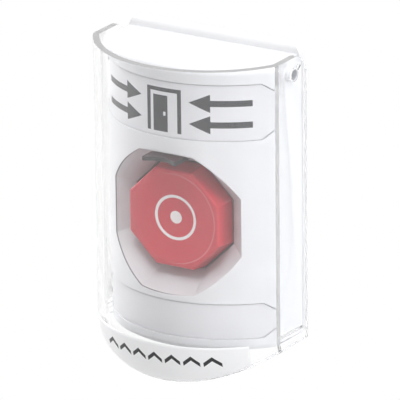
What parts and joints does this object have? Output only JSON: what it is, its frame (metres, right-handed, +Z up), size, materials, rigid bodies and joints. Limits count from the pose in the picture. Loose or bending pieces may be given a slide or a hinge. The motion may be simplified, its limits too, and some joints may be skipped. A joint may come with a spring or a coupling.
{
  "type": "covered emergency push button",
  "caption": "Wall-mounted emergency push button: a red octagonal button in a white recessed housing behind a hinged clear lift-up cover, with switch contacts inside.",
  "frame": {"origin": "middle of the box-screw pattern, on the plane of the wall", "axes": "+Z up, -Y out of the wall towards the user, +X to the user's right"},
  "size_m": [0.084, 0.0506, 0.1323],
  "materials": {
    "white_moulding": "satin moulded plastic",
    "off_white_plate": "satin moulded plastic",
    "clear_moulding": "clear polished plastic",
    "red_moulding": "satin moulded plastic",
    "smoked_lens": "smoked translucent plastic",
    "grey_carrier": "moulded plastic",
    "black_block": "moulded plastic",
    "ivory_plunger": "low-friction plastic",
    "printed_card": "coated card",
    "printed_film": "printed film",
    "circuit_board": "coated laminate",
    "diode": "cast resin",
    "plated_steel": "zinc plated",
    "spring_steel": "drawn wire",
    "contact_brass": "bright brass"
  },
  "bodies": {
    "base": {"back_plate": "off_white_plate", "housing": "white_moulding", "upper_card": "printed_card", "lower_card": "printed_card", "indicator_lens": "smoked_lens", "indicator_board": "circuit_board", "indicator_diodes": "diode", "board_screws": "plated_steel", "housing_screws": "plated_steel", "switch_carrier": "grey_carrier", "carrier_screws": "plated_steel", "terminal_screws": "contact_brass", "return_spring": "spring_steel", "hinge_pin_left": "white_moulding", "hinge_pin_right": "white_moulding", "contact_block_nc": "black_block", "contact_block_no": "black_block", "nc_terminal_lower": "contact_brass", "nc_terminal_upper": "contact_brass", "no_terminal_lower": "contact_brass", "no_terminal_upper": "contact_brass"},
    "button": {"button_cap": "red_moulding", "button_stem": "ivory_plunger", "retaining_clip": "spring_steel", "nc_plunger": "ivory_plunger", "no_plunger": "ivory_plunger", "nc_bridge": "contact_brass", "no_bridge": "contact_brass"},
    "cover": {"clear_cover": "clear_moulding", "lift_label": "printed_film"}
  },
  "joints": [
    {"name": "button_press", "type": "slide", "parent": "base", "child": "button", "axis": [0, 1, 0], "range_m": [0, 0.004], "stiffness_N_per_m": 700, "springref_m": -0.003, "deforming": ["return_spring"]},
    {"name": "cover_hinge", "type": "hinge", "parent": "base", "child": "cover", "pos_m": [0, -0.0119, 0.0552], "axis": [-1, 0, 0], "range_deg": [0, 95]}
  ]
}
